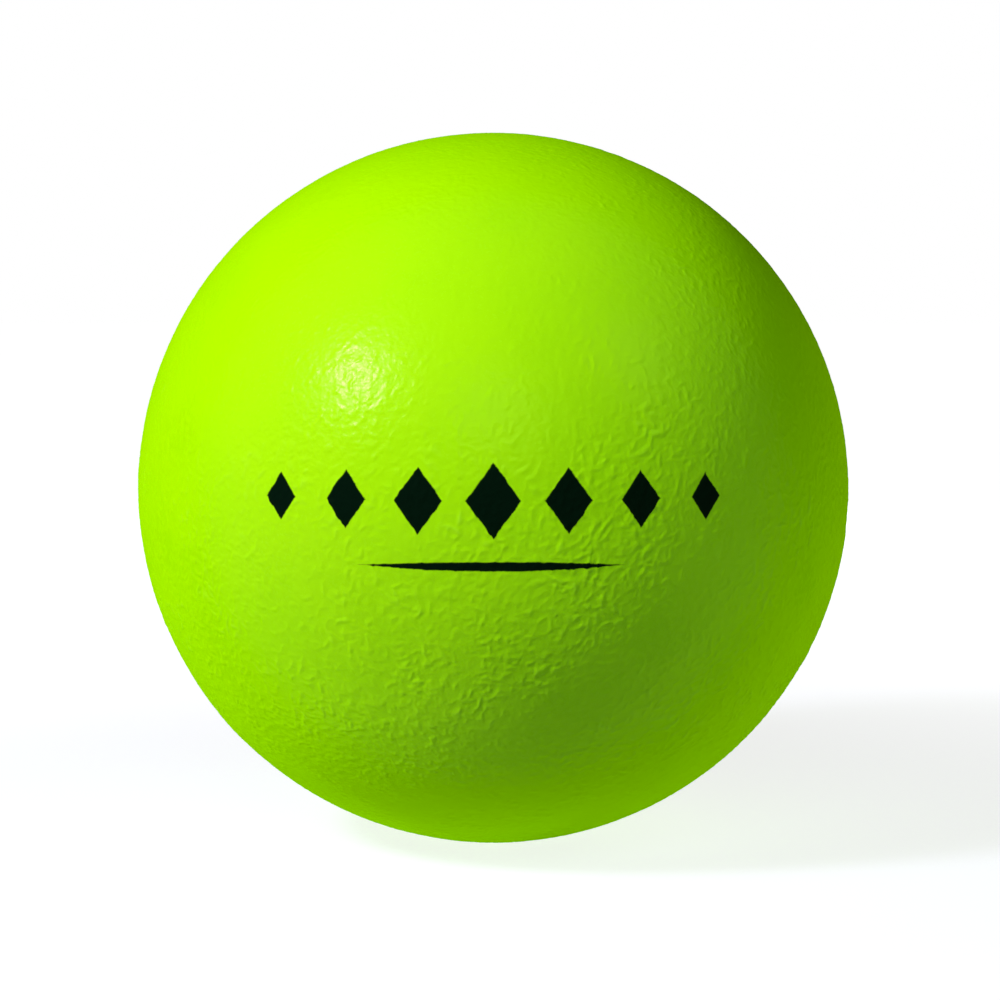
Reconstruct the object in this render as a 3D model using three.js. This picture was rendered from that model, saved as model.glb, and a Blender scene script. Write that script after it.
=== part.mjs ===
// A coated foam ball for playgrounds and sports halls.
//
// A solid ball of soft polyurethane foam is held on a needle while a tough elastic skin is sprayed
// over it. Pulled out, the needle leaves a hole through the skin and a channel in the foam, at the
// ball's lowest point, and a dab of the same coating plugs the hole flush.
//
// Millimetres, +Z up. The origin is the ball's centre, and the ball's front faces -Y. Every piece
// is a solid of revolution about Z.

import * as THREE from "three";

// Driving dimensions, in millimetres
const ballDiameter = 160;
const skinThickness = 0.9;
const bondGap = 0.3; // between the foam and the skin, filled by the primer that bonds them
const needleDiameter = 4; // of the hole through the skin and the channel in the foam
const needlePastCentre = 10; // how far the needle's point reached beyond the ball's centre
const needleTipLength = 6; // the pointed end of the needle
const plugClearance = 0.3; // between the plug and the side of the hole
const plugStemLength = 4; // the straight side of the plug, from the ball's surface inwards

// Facets
const sidesRound = 64;
const stepsPerQuarter = 16; // from the equator to a pole
const plugSides = 24;
const plugSteps = 4; // in the plug's flush face, and again in its rounded end

// Sizes that follow
const ballRadius = ballDiameter / 2;
const skinInnerRadius = ballRadius - skinThickness;
const coreRadius = skinInnerRadius - bondGap;
const needleRadius = needleDiameter / 2;
const plugRadius = needleRadius - plugClearance;

const skinMaterial = new THREE.MeshStandardMaterial({ color: "#b3fa00", roughness: 0.36, metalness: 0 });
const foamMaterial = new THREE.MeshStandardMaterial({ color: "#eee7d6", roughness: 0.95, metalness: 0 });
const plugMaterial = new THREE.MeshStandardMaterial({ color: "#aaf200", roughness: 0.28, metalness: 0 });

// A point of an outline at a latitude of a sphere about the origin. x is the distance from the
// ball's axis and y is the height.
function onSphere(radius, latitude) {
  return new THREE.Vector2(radius * Math.cos(latitude), radius * Math.sin(latitude));
}

// The outline of a sphere with a hole at the bottom, from the rim of the hole up to the top.
function outlineAboveHole(radius, holeRadius) {
  const rimLatitude = -Math.acos(holeRadius / radius);
  const points = [];
  for (let step = 0; step < stepsPerQuarter; step += 1) {
    points.push(onSphere(radius, rimLatitude * (1 - step / stepsPerQuarter)));
  }
  for (let step = 0; step < stepsPerQuarter; step += 1) {
    points.push(onSphere(radius, (Math.PI / 2) * (step / stepsPerQuarter)));
  }
  points.push(new THREE.Vector2(0, radius));
  return points;
}

// Turns an outline about Z. LatheGeometry turns it about Y, so the result is stood upright.
function revolve(outline, sides) {
  return new THREE.LatheGeometry(outline, sides).rotateX(Math.PI / 2);
}

// The skin's outline goes down its inner face, through the needle hole and up its outer face.
function skinGeometry() {
  const inner = outlineAboveHole(skinInnerRadius, needleRadius).reverse();
  const outer = outlineAboveHole(ballRadius, needleRadius);
  return revolve([...inner, ...outer], sidesRound);
}

// The foam's outline goes down the needle's channel, from its point, and up the outside.
function coreGeometry() {
  const channelPoint = new THREE.Vector2(0, needlePastCentre);
  const channelShoulder = new THREE.Vector2(needleRadius, needlePastCentre - needleTipLength);
  const outside = outlineAboveHole(coreRadius, needleRadius);
  return revolve([channelPoint, channelShoulder, ...outside], sidesRound);
}

// The plug's outline goes out along the face that is flush with the ball, up the stem's side and
// in over its rounded end.
function plugGeometry() {
  const outline = [new THREE.Vector2(0, -ballRadius)];
  const rimAngle = Math.asin(plugRadius / ballRadius);
  for (let step = 1; step <= plugSteps; step += 1) {
    outline.push(onSphere(ballRadius, -Math.PI / 2 + (rimAngle * step) / plugSteps));
  }
  const endCentre = -ballRadius * Math.cos(rimAngle) + plugStemLength;
  for (let step = 0; step < plugSteps; step += 1) {
    const point = onSphere(plugRadius, (Math.PI / 2) * (step / plugSteps));
    outline.push(point.setY(point.y + endCentre));
  }
  outline.push(new THREE.Vector2(0, endCentre + plugRadius));
  return revolve(outline, plugSides);
}

function piece(name, geometry, material) {
  const mesh = new THREE.Mesh(geometry, material);
  mesh.name = name;
  return mesh;
}

const group = new THREE.Group();
group.add(piece("foam_core", coreGeometry(), foamMaterial));
group.add(piece("skin", skinGeometry(), skinMaterial));
group.add(piece("needle_hole_plug", plugGeometry(), plugMaterial));

export default group;
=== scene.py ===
# A coated foam ball on a white studio floor.
#
# The ball is a solid ball of soft foam in a thin, satin, finely wrinkled skin. The skin is one closed
# mesh with a real wall. Its outer face carries the wrinkles, and a needle hole through its lowest
# point is stopped by a dab of the same coating. A row of plain lozenges, with a rule below it, is
# printed on the front, which faces -Y.
#
# Lengths are in metres, unless a name ends in MM.

import math

import bpy
import numpy as np
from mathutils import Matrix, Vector


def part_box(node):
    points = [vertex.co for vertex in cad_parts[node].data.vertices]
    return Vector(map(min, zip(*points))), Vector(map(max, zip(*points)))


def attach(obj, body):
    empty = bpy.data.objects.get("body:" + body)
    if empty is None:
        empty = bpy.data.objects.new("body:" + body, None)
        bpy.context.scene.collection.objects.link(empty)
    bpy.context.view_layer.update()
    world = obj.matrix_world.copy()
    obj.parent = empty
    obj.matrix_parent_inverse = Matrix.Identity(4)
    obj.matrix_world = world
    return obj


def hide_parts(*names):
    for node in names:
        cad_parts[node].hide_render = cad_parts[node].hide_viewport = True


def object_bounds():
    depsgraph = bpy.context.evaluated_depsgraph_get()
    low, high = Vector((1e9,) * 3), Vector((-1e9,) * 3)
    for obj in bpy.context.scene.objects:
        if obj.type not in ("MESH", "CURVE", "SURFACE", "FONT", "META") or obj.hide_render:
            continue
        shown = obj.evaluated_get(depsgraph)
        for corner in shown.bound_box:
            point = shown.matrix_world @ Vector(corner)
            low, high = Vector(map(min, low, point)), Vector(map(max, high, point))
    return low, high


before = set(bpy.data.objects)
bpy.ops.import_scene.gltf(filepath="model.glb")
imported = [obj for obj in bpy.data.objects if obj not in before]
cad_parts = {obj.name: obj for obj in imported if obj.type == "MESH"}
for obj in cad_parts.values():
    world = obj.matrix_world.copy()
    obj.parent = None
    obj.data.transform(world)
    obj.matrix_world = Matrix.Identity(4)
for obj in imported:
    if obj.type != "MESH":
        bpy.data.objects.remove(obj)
cad_low, cad_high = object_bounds()

MM = 0.001

# The picture
LENS_MM = 100.0
SENSOR_MM = 36.0
CAMERA_ELEVATION = math.radians(4.5)
CAMERA_REACH = (0.01, 50.0)
BALL_SHARE = 0.7119  # the ball's width, as a share of the picture's
BALL_LEFT = 0.0066  # how far the ball is from the picture's centre, as a share of its width
BALL_UP = 0.0123

# Fineness of the meshes. A sphere is made from a cube's faces, with this many cells along an edge.
OUTER_CELLS = 400
INNER_CELLS = 32
CORE_CELLS = 72
RIM_RING = 5  # the ring of cells that is the needle hole's rim
BLEND_RINGS = 30  # the rings in which the finest mesh turns from round to square
CHANNEL_RINGS = 48
DAB_SIDES = 48
STEM_RINGS = 6
STEM_END_STEPS = 6

# Seeds of the random shapes
WARP_SEED = 20
SWELL_SEED = 30
FOLD_SEED = 60
CELL_SEED = 60
DAB_SEED = 70
PATCH_SEED = 80

# The skin's relief: raised folds, with smoother skin between them
FOLDS = (  # the way that they tend to run, their size in mm and their height in mm
    ((0.2, 0.0, 1.0), 1.25, 0.146),
    ((-0.8, 0.3, 0.5), 1.25, 0.134),
    ((0.8, 0.3, 0.5), 1.25, 0.134),
)
FOLD_STRETCH = 2.0  # how drawn out they are
FOLD_FLOOR = 0.06  # the noise's value at which a fold starts to rise
FOLD_GAIN = 2.6  # how steeply it rises
FOLD_POWER = 1.2  # above 1, it rises gently at its foot
PATCH_MM = 9.0  # size of the patches in which the folds are higher or lower
PATCH_LIMITS = (0.3, 1.8)  # the least and the most that a patch multiplies them by
SWELLS_MM = ((1.4, 0.03), (4.5, 0.05), (17.0, 0.15))  # size and height of the waves under the folds
WARPS_MM = ((4.0, 1.2), (1.6, 0.3))  # size and reach of the bends in the folds
CALM_TOP = 0.46  # the relief over the ball's upper part, as a share of that below
CALM_TOP_HEIGHTS = (-0.05, 0.45)  # the heights between which it eases, as shares of the radius
CALM_BOTTOM = 0.5
CALM_BOTTOM_HEIGHTS = (-0.55, -0.85)
GATHERED_RADIUS_MM = 13.0  # within this of the hole the coating ran together, and the relief fades out

# The dab, and the shallow seat in the skin that holds its cap
SEAT_RADIUS_MM = 3.6
SEAT_DEPTH_MM = 0.12
SEAT_EDGE_MM = 0.8
CAP_MM = (  # the cap's outline: distance from the axis, and depth below the ball's face
    (0.5, 0.10),
    (1.1, 0.07),
    (1.7, 0.03),
    (2.3, 0.0),
    (2.8, 0.01),
    (3.2, 0.05),
    (3.5, 0.13),
    (3.4, 0.17),
)
CAP_MIDDLE_DEPTH_MM = 0.11
CAP_UNEVENNESS = 0.12  # how far its edge wanders in and out, as a share
CAP_WAVES = 1.7  # how quickly the unevenness changes round the cap
NECK_DEPTHS_MM = (0.22, 0.6)
STEM_FROM_MM = 1.0
STEM_CLEARANCE_MM = 0.03

# The foam
CELL_MM = 1.5
CELL_DEPTH_MM = 0.35
CELL_SLOPE = 0.25  # how far a cell's side reaches in from its rim, as a share of a cell's size

# The print, as lengths along the ball's face
LOZENGES_EACH_SIDE = 3
LOZENGE_PITCH_MM = 15.2
LOZENGE_HALF_WIDTH_MM = 5.6
LOZENGE_HALF_HEIGHT_MM = 7.6
LOZENGE_SLANT = 0.8  # about its half height over the length of its side
LOZENGE_SHRINK = 0.12  # how much smaller each lozenge is than its neighbour nearer the middle
ROW_HEIGHT_MM = 3.6  # the row's middle above the ball's equator
RULE_HEIGHT_MM = -9.6
RULE_HALF_LENGTH_MM = 27.0
RULE_HALF_WIDTH_MM = 1.0
PRINT_EDGE_MM = 0.16
PRINT_WOBBLE_MM = 0.5
PRINT_WOBBLES_PER_MM = 0.55
PRINT_ON_RELIEF = 1.2  # how far the ink spreads for each mm of relief under it
PRINT_DEPTH_MM = 0.3  # how far below the middle of the skin's wall the ink may be

# The skin's colours, and the heights of the relief in mm between which they come in
SKIN_COLOUR = (0.41, 0.93, 0.0, 1.0)
# painted shade: a darker green in the hollows between the folds
SKIN_HOLLOW_SHADE_COLOUR = (0.38, 0.88, 0.0, 1.0)
# painted highlight: a lighter, paler green on the crests of the folds
SKIN_CREST_HIGHLIGHT_COLOUR = (0.45, 0.98, 0.02, 1.0)
SKIN_PALE_COLOUR = (0.45, 0.95, 0.0, 1.0)
INK_COLOUR = (0.001, 0.008, 0.003, 1.0)
HOLLOW_RELIEF = (-0.12, 0.0)
CREST_HIGHLIGHT_RELIEF = (0.04, 0.28)
CREST_HIGHLIGHT_SHARE = 0.7
WORN_RELIEF = (0.2, 0.45)
WORN_INK = 0.9  # what is left of the ink on the highest folds
PALE_SHARE = 0.25
CLOUDS_PER_MM = 0.06

# The skin's gloss and its finest relief, which is in the material
SKIN_ROUGHNESS = (0.20, 0.28)
HOLLOW_ROUGHNESS = 0.05  # added in the hollows
INK_ROUGHNESS = 0.12  # added on the ink
GRAINS_PER_MM = 1.6
PEBBLES_PER_MM = 0.8
PEBBLE_HEIGHT_MM = 0.075
GRAIN_HEIGHT = 0.15  # as a share of the pebbles'
GLOSS_LEVEL = 0.18
GLOSS_FADE = (0.12, 0.5)  # how far the face is turned away where the gloss starts to fade, and has gone
GLOSS_TINT = (0.9, 1.0, 0.42, 1.0)
INK_GLOSS = 0.06  # as a share of the skin's

# The dab's material
DAB_COLOUR = (0.40, 0.89, 0.0, 1.0)
DAB_SWIRL_COLOUR = (0.35, 0.80, 0.0, 1.0)
DAB_SWIRLS_PER_MM = 0.8
DAB_GRAINS_PER_MM = 2.5
DAB_ROUGHNESS = (0.14, 0.22)
DAB_SWIRL_HEIGHT_MM = 0.08
DAB_SWIRL_STRENGTH = 0.3
DAB_GLOSS = 0.3

# The foam's material
FOAM_COLOUR = (0.86, 0.80, 0.67, 1.0)
# painted shade: the foam's cells, which are pits, are painted darker
FOAM_CELL_SHADE_COLOUR = (0.60, 0.53, 0.41, 1.0)
FOAM_WARM_COLOUR = (0.90, 0.80, 0.58, 1.0)
FOAM_WARM_SHARE = 0.2
FOAM_CLOUDS_PER_MM = 0.05
FOAM_CELLS_PER_MM = 1.4
FOAM_STRUT = (0.03, 0.22)  # the half widths at which a strut ends and a cell begins
FOAM_CELL_HEIGHT_MM = 0.4
FOAM_CELL_STRENGTH = 0.9
FOAM_ROUGHNESS = (0.85, 0.98)
FOAM_GLOSS = 0.2
FOAM_SHEEN = 0.15

# The parts of a noise's range, 0 to 1, over which a material turns from one state to another
NOISE_MIDDLE = (0.35, 0.65)
NOISE_WIDER = (0.3, 0.7)
NOISE_MEAN = 0.5

# The lights
KEY_TINT = (0.72, 0.90, 0.85)
SPARKLE_TINT = (1.0, 0.92, 1.5)
GLOW_TINT = (1.0, 0.05, 0.0)
FILL_TINT = (0.65, 1.0, 0.95)
BOUNCE_TINT = (0.94, 1.0, 0.95)
LAMPS = {  # direction (right, up and back from the ball, as the camera sees it), distance, width,
    # watts, tint, and whether it shows in the gloss
    "key": ((-0.63, 0.51, 0.587), 0.9, 0.3, 3.78, KEY_TINT, False),
    "sparkle": ((-0.632, 0.513, 0.581), 0.9, 0.14, 3.48, SPARKLE_TINT, True),
    "warm_glow": ((-0.54, 0.43, 0.72), 0.22, 0.1, 0.047, GLOW_TINT, False),
    "front_fill": ((0.0, 0.38, 0.92), 0.9, 0.36, 1.08, FILL_TINT, False),
    "right_fill": ((0.66, 0.57, 0.49), 0.9, 0.4, 0.86, BOUNCE_TINT, False),
    "right_bounce": ((0.73, -0.57, -0.38), 0.6, 0.35, 1.58, BOUNCE_TINT, False),
    "left_bounce": ((-0.54, -0.74, -0.40), 0.6, 0.5, 2.6, BOUNCE_TINT, False),
    "back_fill": ((0.1, 0.1, -1.0), 0.9, 0.5, 2.0, BOUNCE_TINT, False),
}
AMBIENT = 0.012
WHITE = (1.0, 1.0, 1.0, 1.0)

# The floor
FLOOR_SIZE = 12.0
FLOOR_GLOW = (0.80, 1.0)  # under the ball, and far from it
FLOOR_GLOW_REACH = (0.12, 0.42)  # the distances between which it changes
FLOOR_SEEN_GREY = (0.32, 0.32, 0.32, 1.0)
FLOOR_LIT_GREY = (0.2, 0.2, 0.2, 1.0)

# Places in the bake maps, from 0 to 1. A sphere's six charts have a corner and a size in common.
OUTER_MAP = ((0.0, 0.0), 1 / 3)
INNER_MAP = ((0.0, 2 / 3), 1 / 7)
CORE_MAP = ((0.0, 0.0), 1 / 3)
CHART_MARGIN = 0.01  # as a share of a chart's size
BORE_MAP = (0.97, 0.985)  # the heights of a strip's two edges
CHANNEL_MAP = (0.70, 0.90)
DAB_MAP = (0.2, 0.8)
STRIP_LEFT = 0.05
STRIP_WIDTH = 0.9
CHANNEL_POINT_MAP = 0.95  # the height of a fan's middle
DAB_FACE_MAP = 0.1
DAB_END_MAP = 0.9
FAN_ACROSS = 0.5
FAN_RADIUS = 0.01


# What the frame says

def distance_range(node):
    """The least and greatest distance of a node's vertices from the ball's centre."""
    distances = [vertex.co.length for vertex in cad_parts[node].data.vertices]
    return min(distances), max(distances)


def channel_heights():
    """The heights in the foam of the needle channel's point, and of the ring where it narrows."""
    inside = [v.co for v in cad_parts["foam_core"].data.vertices if v.co.length < CORE_RADIUS / 2]
    return max(point.z for point in inside), min(point.z for point in inside)


SKIN_INNER, SKIN_OUTER = distance_range("skin")
CORE_RADIUS = distance_range("foam_core")[1]
HOLE_RADIUS = min(math.hypot(v.co.x, v.co.y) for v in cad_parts["skin"].data.vertices if v.co.z < 0)
CHANNEL_POINT, CHANNEL_SHOULDER = channel_heights()
plug_low, plug_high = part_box("needle_hole_plug")


# The camera

BACK = Vector((0.0, -math.cos(CAMERA_ELEVATION), math.sin(CAMERA_ELEVATION)))
RIGHT = Vector((1.0, 0.0, 0.0))
UP = BACK.cross(RIGHT)


def add_object(name, data):
    item = bpy.data.objects.new(name, data)
    bpy.context.scene.collection.objects.link(item)
    return item


def face_centre(item, direction, distance):
    """Puts a camera or lamp at a distance in a direction, turned to the ball's centre."""
    item.location = direction * distance
    item.rotation_mode = "QUATERNION"
    item.rotation_quaternion = (-direction).to_track_quat("-Z", "Y")


def make_camera():
    camera = add_object("camera", bpy.data.cameras.new("camera"))
    half_angle = math.atan(SENSOR_MM / 2 / LENS_MM * BALL_SHARE)
    face_centre(camera, BACK, SKIN_OUTER / math.sin(half_angle))
    camera.data.lens = LENS_MM
    camera.data.sensor_width = SENSOR_MM
    camera.data.shift_x = BALL_LEFT
    camera.data.shift_y = -BALL_UP
    camera.data.clip_start, camera.data.clip_end = CAMERA_REACH
    bpy.context.scene.camera = camera


# Noise and cells, worked out for many points at once

BLOCK = 20000  # points worked out together, few enough to stay in the processor's cache
CORNERS = np.array([(x, y, z) for x in (0, 1) for y in (0, 1) for z in (0, 1)])
NEIGHBOURS = np.array([(x, y, z) for x in (-1, 0, 1) for y in (-1, 0, 1) for z in (-1, 0, 1)])
CHOICES = 256
SEED_MARGIN = 0.05  # how far a cell's seed point keeps from the sides of its cube, as a share
FAR = 9  # further than any cell's rim


def in_blocks(work, points):
    """work(points), done a block at a time."""
    blocks = range(0, len(points), BLOCK)
    return np.concatenate([work(points[first:first + BLOCK]) for first in blocks])


def smoothstep(value):
    value = np.clip(value, 0, 1)
    return value * value * (3 - 2 * value)


class Lattice:
    """A random choice of CHOICES things for each cube of space, the same on each run for one seed."""

    def __init__(self, seed):
        self.rng = np.random.default_rng(seed)
        self.order = self.rng.permutation(CHOICES)

    def choice(self, cell):
        number = 0
        for axis in range(3):
            number = self.order[(number + cell[..., axis]) % CHOICES]
        return number


class Noise(Lattice):
    """Gradient noise in space, about -0.7 to 0.7."""

    def __init__(self, seed):
        super().__init__(seed)
        gradients = self.rng.normal(size=(CHOICES, 3))
        gradients /= np.linalg.norm(gradients, axis=1)[:, None]
        self.gradients = gradients.astype(np.float32)

    def values(self, points):
        floor = np.floor(points)
        cell = floor.astype(np.int32)
        offset = (points - floor).astype(np.float32)
        fade = offset**3 * (offset * (offset * 6 - 15) + 10)
        total = np.zeros(len(points), np.float32)
        for corner in CORNERS:
            share = np.where(corner == 1, fade, 1 - fade).prod(axis=1)
            gradient = self.gradients[self.choice(cell + corner)]
            total += share * ((offset - corner) * gradient).sum(axis=1)
        return total

    def __call__(self, points):
        return in_blocks(self.values, points)


def vector_noise(points, seed):
    """Three noises, one along each axis, from this seed and the next two."""
    return np.stack([Noise(seed + axis)(points) for axis in range(3)], axis=1)


class Cells(Lattice):
    """Space cut into irregular cells, each the part nearest to one of its scattered seed points."""

    def __init__(self, seed):
        super().__init__(seed)
        self.place_in_cell = self.rng.random((CHOICES, 3)) * (1 - 2 * SEED_MARGIN) + SEED_MARGIN

    def rim_distances(self, points):
        """Each point's distance from the rim of its cell."""
        cell = np.floor(points).astype(np.int32)[:, None] + NEIGHBOURS
        seeds = (cell + self.place_in_cell[self.choice(cell)] - points[:, None]).astype(np.float32)
        nearest = (seeds**2).sum(axis=2).argmin(axis=1)[:, None]
        centre = np.take_along_axis(seeds, nearest[:, :, None], axis=1)
        apart = seeds - centre
        gap = np.sqrt((apart**2).sum(axis=2))
        np.put_along_axis(gap, nearest, 1, axis=1)
        rim = ((seeds + centre) * apart).sum(axis=2) / 2 / gap
        np.put_along_axis(rim, nearest, FAR, axis=1)
        return rim.min(axis=1)

    def __call__(self, points):
        return in_blocks(self.rim_distances, points)


# Spheres made from a cube's six faces

CUBE_FACES = (  # each face's outward, across and along directions
    ((0, -1, 0), (1, 0, 0), (0, 0, 1)),
    ((1, 0, 0), (0, 1, 0), (0, 0, 1)),
    ((0, 1, 0), (-1, 0, 0), (0, 0, 1)),
    ((-1, 0, 0), (0, -1, 0), (0, 0, 1)),
    ((0, 0, 1), (1, 0, 0), (0, 1, 0)),
    ((0, 0, -1), (1, 0, 0), (0, -1, 0)),
)
BOTTOM_FACE = 5
CHARTS_ACROSS = 3
WELD_PARTS = 1e7  # points less than about one part in this many of the radius apart are joined


def angle_in_circle(across, along):
    """The angle round the centre of a point of a square grid, once its square rings are circles."""
    with np.errstate(divide="ignore", invalid="ignore"):
        by_side = math.pi / 4 * along / across + np.where(across < 0, math.pi, 0)
        by_top = math.pi / 2 - math.pi / 4 * across / along + np.where(along < 0, math.pi, 0)
    return np.nan_to_num(np.where(np.abs(across) >= np.abs(along), by_side, by_top))


def face_directions(face, cells, hole_angle):
    """Unit vectors of one cube face's grid, and each one's ring about the face's centre."""
    outward, across_axis, along_axis = (np.array(axis, float) for axis in CUBE_FACES[face])
    steps = np.arange(cells + 1) - cells / 2
    across, along = (grid.ravel() for grid in np.meshgrid(steps, steps))
    step_angle = math.pi / 2 / cells
    points = outward + np.tan(across * step_angle)[:, None] * across_axis
    points += np.tan(along * step_angle)[:, None] * along_axis
    points /= np.linalg.norm(points, axis=1)[:, None]
    if face != BOTTOM_FACE:
        return points, np.full(len(points), -1.0)
    ring = np.maximum(np.abs(across), np.abs(along))
    blend = BLEND_RINGS * cells / OUTER_CELLS + RIM_RING
    progress = (ring - RIM_RING) / blend
    tilt = hole_angle + progress * ((RIM_RING + blend) * step_angle - hole_angle)
    turn = angle_in_circle(across, along)
    ringed = np.cos(tilt)[:, None] * outward
    ringed += (np.sin(tilt) * np.cos(turn))[:, None] * across_axis
    ringed += (np.sin(tilt) * np.sin(turn))[:, None] * along_axis
    share = smoothstep(progress)[:, None]
    points = ringed * (1 - share) + points * share
    return points / np.linalg.norm(points, axis=1)[:, None], ring


def chart(face, cells, corner, size):
    """One face's place in the bake map: a square of that size, with a margin inside it."""
    margin = size * CHART_MARGIN
    steps = np.arange(cells + 1) / cells * (size - 2 * margin) + margin
    u, v = (grid.ravel() for grid in np.meshgrid(steps, steps))
    left = corner[0] + face % CHARTS_ACROSS * size
    low = corner[1] + face // CHARTS_ACROSS * size
    return np.stack([left + u, low + v], axis=1)


def weld(points, quads, rings):
    """Joins the points that two faces share and drops those that no quad uses."""
    used = np.unique(quads)
    keys = np.round(points[used] * WELD_PARTS).astype(np.int64)
    _, first, inverse = np.unique(keys, axis=0, return_index=True, return_inverse=True)
    renumber = np.zeros(len(points), np.int64)
    renumber[used] = inverse.ravel()
    return points[used][first], renumber[quads], rings[used][first]


def sphere_with_hole(cells, hole_angle, map_corner, map_size):
    """A unit sphere with a round hole at the bottom: its points, its quads with their places in the
    bake map, and the rim's points in order round the hole."""
    points, quads, corners, rings = [], [], [], []
    column, row = (grid.ravel() for grid in np.meshgrid(np.arange(cells), np.arange(cells)))
    first = row * (cells + 1) + column
    grid_quads = np.stack([first, first + 1, first + cells + 2, first + cells + 1], axis=1)
    for face in range(len(CUBE_FACES)):
        face_points, ring = face_directions(face, cells, hole_angle)
        kept = grid_quads
        if face == BOTTOM_FACE:
            kept = grid_quads[ring[grid_quads].min(axis=1) >= RIM_RING]
        quads.append(kept + face * (cells + 1) ** 2)
        corners.append(chart(face, cells, map_corner, map_size)[kept])
        points.append(face_points)
        rings.append(ring)
    points, quads, rings = weld(np.concatenate(points), np.concatenate(quads), np.concatenate(rings))
    rim = np.flatnonzero(rings == RIM_RING)
    rim = rim[np.argsort(np.arctan2(points[rim, 1], points[rim, 0]))]
    return points, (quads, np.concatenate(corners)), rim


# Tubes and their ends

def tube(rings, map_low, map_high):
    """Quads between rings of points, each ring a row of point numbers, and their strip of the map."""
    count = rings.shape[1]
    upper, lower = rings[:-1], rings[1:]
    quads = np.stack([upper, lower, np.roll(lower, -1, axis=1), np.roll(upper, -1, axis=1)], axis=2)
    u = np.arange(count) / count * STRIP_WIDTH + STRIP_LEFT
    v = np.linspace(map_low, map_high, len(rings))
    left, high = np.meshgrid(u, v[:-1])
    right, low = np.meshgrid(u + STRIP_WIDTH / count, v[1:])
    corners = np.stack([left, high, left, low, right, low, right, high], axis=2)
    return quads.reshape(-1, 4), corners.reshape(-1, 4, 2)


def fan(ring, tip, map_height):
    """Triangles from a ring of points to one point."""
    following = np.roll(ring, -1)
    triangles = np.stack([ring, np.full(len(ring), tip), following], axis=1)
    turn = np.arange(len(ring)) / len(ring) * 2 * math.pi
    edge = FAN_RADIUS * np.stack([np.cos(turn), np.sin(turn)], axis=1) + (FAN_ACROSS, map_height)
    middle = np.broadcast_to((FAN_ACROSS, map_height), edge.shape)
    return triangles, np.stack([edge, middle, np.roll(edge, -1, axis=0)], axis=1)


def build_piece(name, points, face_sets, attributes=()):
    """A smooth-shaded mesh object. face_sets holds arrays of faces, each with its map corners."""
    sizes = np.concatenate([np.full(len(faces), faces.shape[1]) for faces, _ in face_sets])
    loops = np.concatenate([faces.ravel() for faces, _ in face_sets])
    corners = np.concatenate([corners.reshape(-1, 2) for _, corners in face_sets])
    mesh = bpy.data.meshes.new(name)
    mesh.vertices.add(len(points))
    mesh.vertices.foreach_set("co", points.astype(np.float32).ravel())
    mesh.loops.add(len(loops))
    mesh.loops.foreach_set("vertex_index", loops.astype(np.int32))
    mesh.polygons.add(len(sizes))
    mesh.polygons.foreach_set("loop_start", (np.cumsum(sizes) - sizes).astype(np.int32))
    mesh.update(calc_edges=True)
    mesh.uv_layers.new(name="OFBake").data.foreach_set("uv", corners.astype(np.float32).ravel())
    for label, values in attributes:
        layer = mesh.attributes.new(label, "FLOAT", "POINT")
        layer.data.foreach_set("value", values.astype(np.float32))
    mesh.shade_smooth()
    return add_object(name, mesh)


# The skin

def from_hole_mm(directions):
    """How far each direction is from the ball's lowest point, along the ball's face."""
    return np.arccos(np.clip(-directions[:, 2], -1, 1)) * SKIN_OUTER / MM


def easing(heights, limits, share):
    """From 1 at the first of two heights to a share at the second."""
    start, end = limits
    return 1 - (1 - share) * smoothstep((heights - start) / (end - start))


def drawn_out(places, direction):
    """Places squeezed along a direction, so that what is made from them is drawn out along it."""
    direction = np.array(direction) / np.linalg.norm(direction)
    return places - np.outer(places @ direction, direction) * (1 - 1 / FOLD_STRETCH)


def bent(places):
    """Places moved aside by a little, so that what is made from them runs in bends."""
    moved = places.copy()
    for order, (size, reach) in enumerate(WARPS_MM):
        moved += reach * vector_noise(places / size, WARP_SEED + 3 * order)
    return moved


def skin_relief(directions):
    """The height of the skin's outer face above its mean level, in millimetres."""
    places = directions * (SKIN_OUTER / MM)
    warped = bent(places)
    relief = np.zeros(len(places))
    for order, (direction, size, height) in enumerate(FOLDS):
        rise = Noise(FOLD_SEED + order)(drawn_out(warped, direction) / size) - FOLD_FLOOR
        fold = np.clip(FOLD_GAIN * rise, 0, 1) ** FOLD_POWER
        relief = np.maximum(relief, height * fold)
    relief *= np.clip(1.0 + Noise(PATCH_SEED)(places / PATCH_MM), *PATCH_LIMITS)
    for order, (size, height) in enumerate(SWELLS_MM):
        relief += height * Noise(SWELL_SEED + order)(places / size)
    relief -= relief.mean()
    relief *= easing(directions[:, 2], CALM_TOP_HEIGHTS, CALM_TOP)
    return relief * easing(directions[:, 2], CALM_BOTTOM_HEIGHTS, CALM_BOTTOM)


def skin_depth(directions, relief):
    """How far the skin's outer face lies below the ball's full radius, which the highest fold reaches."""
    distance = from_hole_mm(directions)
    depth = relief.max() - relief
    depth *= smoothstep((distance - SEAT_RADIUS_MM) / (GATHERED_RADIUS_MM - SEAT_RADIUS_MM))
    seat = smoothstep((SEAT_RADIUS_MM + SEAT_EDGE_MM - distance) / SEAT_EDGE_MM)
    return depth + SEAT_DEPTH_MM * seat


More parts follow.
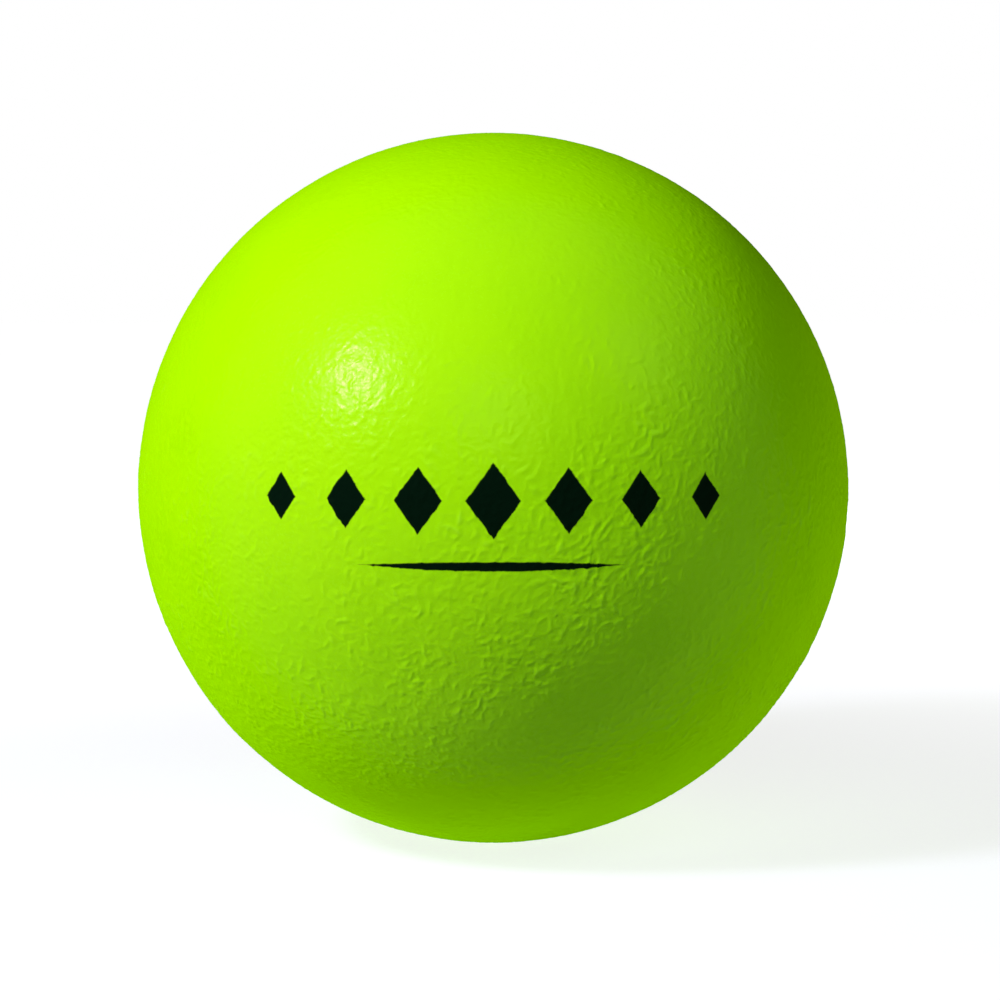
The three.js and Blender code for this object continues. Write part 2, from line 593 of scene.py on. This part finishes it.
def make_skin():
    outer_angle = math.asin(HOLE_RADIUS / SKIN_OUTER)
    inner_angle = math.asin(HOLE_RADIUS / SKIN_INNER)
    outer, outer_quads, outer_rim = sphere_with_hole(OUTER_CELLS, outer_angle, *OUTER_MAP)
    inner, (inner_quads, inner_corners), inner_rim = sphere_with_hole(INNER_CELLS, inner_angle, *INNER_MAP)
    relief = skin_relief(outer)
    outer_points = outer * (SKIN_OUTER - skin_depth(outer, relief) * MM)[:, None]
    points = np.concatenate([outer_points, inner * SKIN_INNER])
    facing_in = (inner_quads[:, ::-1] + len(outer), inner_corners[:, ::-1])
    bore = tube(np.stack([outer_rim, inner_rim + len(outer)]), *BORE_MAP)
    relief = np.concatenate([relief, np.zeros(len(inner))])
    return build_piece("wrinkled_skin", points, [outer_quads, facing_in, bore], [("relief", relief)])


# The foam

def make_foam():
    hole_angle = math.asin(HOLE_RADIUS / CORE_RADIUS)
    outside, quads, rim = sphere_with_hole(CORE_CELLS, hole_angle, *CORE_MAP)
    from_rim = Cells(CELL_SEED)(outside * (CORE_RADIUS / MM / CELL_MM))
    pit = CELL_DEPTH_MM * smoothstep(from_rim / CELL_SLOPE)
    pit[rim] = 0
    points = [outside * (CORE_RADIUS - pit * MM)[:, None]]
    rings = [rim]
    rim_points = outside[rim] * CORE_RADIUS
    heights = np.linspace(rim_points[0, 2], CHANNEL_SHOULDER, CHANNEL_RINGS + 1)[1:]
    for height in heights:
        rings.append(len(outside) + (len(rings) - 1) * len(rim) + np.arange(len(rim)))
        ring = rim_points.copy()
        ring[:, 2] = height
        points.append(ring)
    points.append(np.array([[0.0, 0.0, CHANNEL_POINT]]))
    points = np.concatenate(points)
    channel = tube(np.stack(rings), *CHANNEL_MAP)
    point = fan(rings[-1], len(points) - 1, CHANNEL_POINT_MAP)
    return build_piece("foam_ball", points, [quads, channel, point])


# The dab that stops the needle hole

def dab_outline(stem, length):
    """The dab's outline, as distances from the axis and depths below the ball's face: over the cap,
    up the stem and in over its rounded end."""
    neck = [(stem, depth) for depth in NECK_DEPTHS_MM]
    straight = [(stem, depth) for depth in np.linspace(STEM_FROM_MM, length - stem, STEM_RINGS)]
    quarter = np.linspace(0, math.pi / 2, STEM_END_STEPS + 1)[1:-1]
    end = [(stem * math.cos(angle), length - stem + stem * math.sin(angle)) for angle in quarter]
    return [*CAP_MM, *neck, *straight, *end]


def make_dab():
    """A dab of coating: a thin flush cap with an uneven edge, and a stem that fills the hole."""
    stem = HOLE_RADIUS / MM - STEM_CLEARANCE_MM
    turn = -np.arange(DAB_SIDES) / DAB_SIDES * 2 * math.pi
    circle = np.stack([np.cos(turn), np.sin(turn), np.zeros(DAB_SIDES)], axis=1)
    uneven = 1 + CAP_UNEVENNESS * Noise(DAB_SEED)(circle * CAP_WAVES)
    rings = []
    for across, depth in dab_outline(stem, (plug_high.z - plug_low.z) / MM):
        spread = np.where(across > stem, stem + (across - stem) * uneven**2, across) * MM
        height = -np.sqrt((SKIN_OUTER - depth * MM) ** 2 - spread**2)
        rings.append(np.stack([circle[:, 0] * spread, circle[:, 1] * spread, height], axis=1))
    tips = [[0.0, 0.0, -SKIN_OUTER + CAP_MIDDLE_DEPTH_MM * MM], [0.0, 0.0, plug_high.z]]
    points = np.concatenate(rings + [np.array(tips)])
    numbers = np.arange(len(rings) * DAB_SIDES).reshape(len(rings), DAB_SIDES)
    face = fan(numbers[0][::-1], len(points) - 2, DAB_FACE_MAP)
    end = fan(numbers[-1], len(points) - 1, DAB_END_MAP)
    return build_piece("needle_hole_dab", points, [tube(numbers, *DAB_MAP), face, end])


# Materials

class Shader:
    """Builds one material out of nodes. Each method returns the socket of what it adds."""

    def __init__(self, name):
        self.material = bpy.data.materials.new(name)
        self.material.use_nodes = True
        self.tree = self.material.node_tree
        self.tree.nodes.clear()
        self.output = self.tree.nodes.new("ShaderNodeOutputMaterial")

    def add(self, kind, inputs=(), output=0, **settings):
        node = self.tree.nodes.new("ShaderNode" + kind)
        for name, value in settings.items():
            setattr(node, name, value)
        for key, value in dict(inputs).items():
            if isinstance(value, bpy.types.NodeSocket):
                self.tree.links.new(value, node.inputs[key])
            else:
                node.inputs[key].default_value = value
        return node.outputs[output]

    def math(self, operation, *values):
        return self.add("Math", enumerate(values), operation=operation)

    def noise(self, vector, scale, detail=2.0, roughness=0.5):
        inputs = {"Vector": vector, "Scale": scale, "Detail": detail, "Roughness": roughness}
        return self.add("TexNoise", inputs)

    def ramp(self, value, limits, results=(0.0, 1.0)):
        """From the first result where the value is at the first limit, to the second at the second."""
        inputs = {0: value, 1: limits[0], 2: limits[1], 3: results[0], 4: results[1]}
        return self.add("MapRange", inputs, interpolation_type="SMOOTHSTEP")

    def mix(self, share, first, second):
        """A mix of two colours, which are the Mix node's sockets 6 and 7."""
        inputs = {0: share, 6: first, 7: second}
        return self.add("Mix", inputs, output=2, data_type="RGBA")

    def bump(self, height, height_mm, strength):
        return self.add("Bump", {"Strength": strength, "Distance": height_mm * MM, "Height": height})

    def place_mm(self):
        """Where the point is on the ball, in millimetres."""
        place = self.add("TexCoord", output=3)
        return self.add("VectorMath", {0: place, "Scale": 1 / MM}, operation="SCALE")

    def finish(self, surface):
        self.tree.links.new(surface, self.output.inputs[0])
        return self.material


def lozenge_distance(shader, across, upward):
    """How far in mm a point is inside the nearest lozenge of the row."""
    number = shader.math("ROUND", shader.math("DIVIDE", across, LOZENGE_PITCH_MM))
    number = shader.math("MINIMUM", number, LOZENGES_EACH_SIDE)
    number = shader.math("MAXIMUM", number, -LOZENGES_EACH_SIDE)
    aside = shader.math("MULTIPLY_ADD", number, -LOZENGE_PITCH_MM, across)
    size = shader.math("MULTIPLY_ADD", shader.math("ABSOLUTE", number), -LOZENGE_SHRINK, 1.0)
    width_share = shader.math("DIVIDE", shader.math("ABSOLUTE", aside), LOZENGE_HALF_WIDTH_MM)
    above = shader.math("ABSOLUTE", shader.math("SUBTRACT", upward, ROW_HEIGHT_MM))
    height_share = shader.math("DIVIDE", above, LOZENGE_HALF_HEIGHT_MM)
    inside = shader.math("SUBTRACT", size, shader.math("ADD", width_share, height_share))
    return shader.math("MULTIPLY", inside, LOZENGE_HALF_WIDTH_MM * LOZENGE_SLANT)


def rule_distance(shader, across, upward):
    """How far in mm a point is inside the rule, which tapers to both ends."""
    along = shader.math("DIVIDE", across, RULE_HALF_LENGTH_MM)
    taper = shader.math("SUBTRACT", 1.0, shader.math("MULTIPLY", along, along))
    half_width = shader.math("MULTIPLY", taper, RULE_HALF_WIDTH_MM)
    aside = shader.math("ABSOLUTE", shader.math("SUBTRACT", upward, RULE_HEIGHT_MM))
    return shader.math("SUBTRACT", half_width, aside)


def print_mask(shader, place, relief):
    """1 where the row of lozenges or the rule below it is printed, and 0 elsewhere."""
    xyz = shader.tree.nodes.new("ShaderNodeSeparateXYZ")
    shader.tree.links.new(place, xyz.inputs[0])
    x, y, z = xyz.outputs
    radius = shader.add("VectorMath", {0: place}, output=1, operation="LENGTH")
    azimuth = shader.math("ARCTAN2", x, shader.math("MULTIPLY", y, -1.0))
    latitude = shader.math("ARCSINE", shader.math("DIVIDE", z, radius))
    noise = shader.noise(place, PRINT_WOBBLES_PER_MM, detail=3.0, roughness=0.6)
    wobble = shader.math("SUBTRACT", noise, NOISE_MEAN)
    across = shader.math("MULTIPLY", azimuth, SKIN_OUTER / MM)
    across = shader.math("MULTIPLY_ADD", wobble, PRINT_WOBBLE_MM, across)
    upward = shader.math("MULTIPLY", latitude, SKIN_OUTER / MM)
    lozenge = lozenge_distance(shader, across, upward)
    rule = rule_distance(shader, across, upward)
    inside = shader.math("MULTIPLY_ADD", relief, PRINT_ON_RELIEF, shader.math("MAXIMUM", lozenge, rule))
    mask = shader.ramp(inside, (-PRINT_EDGE_MM, PRINT_EDGE_MM))
    least_radius = (SKIN_INNER + SKIN_OUTER) / 2 / MM - PRINT_DEPTH_MM
    return shader.math("MULTIPLY", mask, shader.math("GREATER_THAN", radius, least_radius))


def skin_material():
    shader = Shader("wrinkled_skin")
    place = shader.place_mm()
    relief = shader.add("Attribute", output=2, attribute_name="relief")
    grain = shader.noise(place, GRAINS_PER_MM, detail=3.0, roughness=0.6)
    hollow = shader.ramp(relief, HOLLOW_RELIEF, (1.0, 0.0))
    crest_highlight = shader.ramp(relief, CREST_HIGHLIGHT_RELIEF, (0.0, CREST_HIGHLIGHT_SHARE))
    pale = shader.ramp(shader.noise(place, CLOUDS_PER_MM), NOISE_MIDDLE, (0.0, PALE_SHARE))
    # painted shade: the hollows of the relief are painted a darker green
    green = shader.mix(hollow, SKIN_COLOUR, SKIN_HOLLOW_SHADE_COLOUR)
    # painted highlight: the crests of the folds are painted lighter and paler
    green = shader.mix(crest_highlight, green, SKIN_CREST_HIGHLIGHT_COLOUR)
    green = shader.mix(pale, green, SKIN_PALE_COLOUR)
    ink = print_mask(shader, place, relief)
    ink_left = shader.math("MULTIPLY", ink, shader.ramp(relief, WORN_RELIEF, (1.0, WORN_INK)))
    roughness = shader.ramp(grain, NOISE_WIDER, SKIN_ROUGHNESS)
    roughness = shader.math("MULTIPLY_ADD", hollow, HOLLOW_ROUGHNESS, roughness)
    roughness = shader.math("MULTIPLY_ADD", ink, INK_ROUGHNESS, roughness)
    pebbles = shader.noise(place, PEBBLES_PER_MM, detail=1.0)
    pebbles = shader.math("MULTIPLY_ADD", grain, GRAIN_HEIGHT, pebbles)
    facing = shader.add("LayerWeight", {"Blend": 0.5}, output=1)
    gloss = shader.ramp(facing, GLOSS_FADE, (GLOSS_LEVEL, 0.0))
    gloss = shader.math("MULTIPLY", gloss, shader.ramp(ink, (0.0, 1.0), (1.0, INK_GLOSS)))
    inputs = {
        "Base Color": shader.mix(ink_left, green, INK_COLOUR),
        "Roughness": roughness,
        "Specular IOR Level": gloss,
        "Specular Tint": GLOSS_TINT,
        "Normal": shader.bump(pebbles, PEBBLE_HEIGHT_MM, 1.0),
    }
    return shader.finish(shader.add("BsdfPrincipled", inputs))


def dab_material():
    shader = Shader("coating_dab")
    place = shader.place_mm()
    swirl = shader.noise(place, DAB_SWIRLS_PER_MM)
    inputs = {
        "Base Color": shader.mix(shader.ramp(swirl, NOISE_MIDDLE), DAB_COLOUR, DAB_SWIRL_COLOUR),
        "Roughness": shader.ramp(shader.noise(place, DAB_GRAINS_PER_MM), NOISE_WIDER, DAB_ROUGHNESS),
        "Specular IOR Level": DAB_GLOSS,
        "Normal": shader.bump(swirl, DAB_SWIRL_HEIGHT_MM, DAB_SWIRL_STRENGTH),
    }
    return shader.finish(shader.add("BsdfPrincipled", inputs))


def foam_material():
    """Open-cell foam: pale struts round cells, which are painted darker as the shade in their pits."""
    shader = Shader("open_cell_foam")
    place = shader.place_mm()
    shapes = {"Vector": place, "Scale": FOAM_CELLS_PER_MM, "Randomness": 1.0}
    strut = shader.add("TexVoronoi", shapes, feature="DISTANCE_TO_EDGE")
    cell = shader.ramp(strut, FOAM_STRUT)
    # painted shade: darker colour in the cells' pits
    colour = shader.mix(cell, FOAM_COLOUR, FOAM_CELL_SHADE_COLOUR)
    warm = shader.ramp(shader.noise(place, FOAM_CLOUDS_PER_MM), NOISE_WIDER, (0.0, FOAM_WARM_SHARE))
    height = shader.math("SUBTRACT", 1.0, cell)
    inputs = {
        "Base Color": shader.mix(warm, colour, FOAM_WARM_COLOUR),
        "Roughness": shader.ramp(cell, (0.0, 1.0), FOAM_ROUGHNESS),
        "Specular IOR Level": FOAM_GLOSS,
        "Sheen Weight": FOAM_SHEEN,
        "Normal": shader.bump(height, FOAM_CELL_HEIGHT_MM, FOAM_CELL_STRENGTH),
    }
    return shader.finish(shader.add("BsdfPrincipled", inputs))


# The studio

def place_lamp(name, direction, distance, width, watts, tint, in_gloss):
    """A round soft lamp that faces the ball."""
    light = bpy.data.lights.new(name, "AREA")
    light.shape = "DISK"
    light.size = width
    light.energy = watts
    light.color = tint
    lamp = add_object(name, light)
    right, up, back = direction
    face_centre(lamp, (RIGHT * right + UP * up + BACK * back).normalized(), distance)
    lamp.visible_camera = False
    lamp.visible_glossy = in_gloss


def seen_directly(tree):
    """1 for rays from the camera, in a reflection or through glass, and 0 for rays that carry light."""
    path = tree.nodes.new("ShaderNodeLightPath").outputs
    seen = path["Is Camera Ray"]
    for other in ("Is Glossy Ray", "Is Transmission Ray"):
        larger = tree.nodes.new("ShaderNodeMath")
        larger.operation = "MAXIMUM"
        tree.links.new(seen, larger.inputs[0])
        tree.links.new(path[other], larger.inputs[1])
        seen = larger.outputs[0]
    return seen


def make_world():
    world = bpy.data.worlds.new("studio")
    bpy.context.scene.world = world
    world.use_nodes = True
    tree = world.node_tree
    strength = tree.nodes.new("ShaderNodeMath")
    strength.operation = "MAXIMUM"
    strength.inputs[1].default_value = AMBIENT
    tree.links.new(seen_directly(tree), strength.inputs[0])
    background = tree.nodes["Background"]
    background.inputs["Color"].default_value = WHITE
    tree.links.new(strength.outputs[0], background.inputs["Strength"])


def floor_material():
    """White where it is seen, with the ball's soft shadow near the middle, and grey in what it lights."""
    shader = Shader("studio_floor")
    place = shader.add("TexCoord", output=3)
    away = shader.add("VectorMath", {0: place}, output=1, operation="LENGTH")
    glow = shader.ramp(away, FLOOR_GLOW_REACH, FLOOR_GLOW)
    lit = shader.add("BsdfDiffuse", {"Color": FLOOR_LIT_GREY})
    seen = shader.add("BsdfDiffuse", {"Color": FLOOR_SEEN_GREY})
    light = shader.add("Emission", {"Color": WHITE, "Strength": glow})
    seen = shader.add("AddShader", {0: seen, 1: light})
    return shader.finish(shader.add("MixShader", {0: seen_directly(shader.tree), 1: lit, 2: seen}))


def make_floor():
    bpy.ops.mesh.primitive_plane_add(size=FLOOR_SIZE, location=(0.0, 0.0, cad_low.z))
    floor = bpy.context.object
    floor.name = "studio_floor"
    floor.data.materials.append(floor_material())
    floor.visible_shadow = False


# The whole picture

def fit(piece, node, material):
    """Gives a piece its material and puts it in place of a CAD node."""
    piece.data.materials.append(material)
    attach(piece, "root")
    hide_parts(node)
    return piece


make_camera()
foam = fit(make_foam(), "foam_core", foam_material())
fit(make_skin(), "skin", skin_material())
fit(make_dab(), "needle_hole_plug", dab_material())
for lamp_name, lamp_values in LAMPS.items():
    place_lamp(lamp_name, *lamp_values)
make_world()
make_floor()
bpy.context.scene.view_settings.view_transform = "Standard"
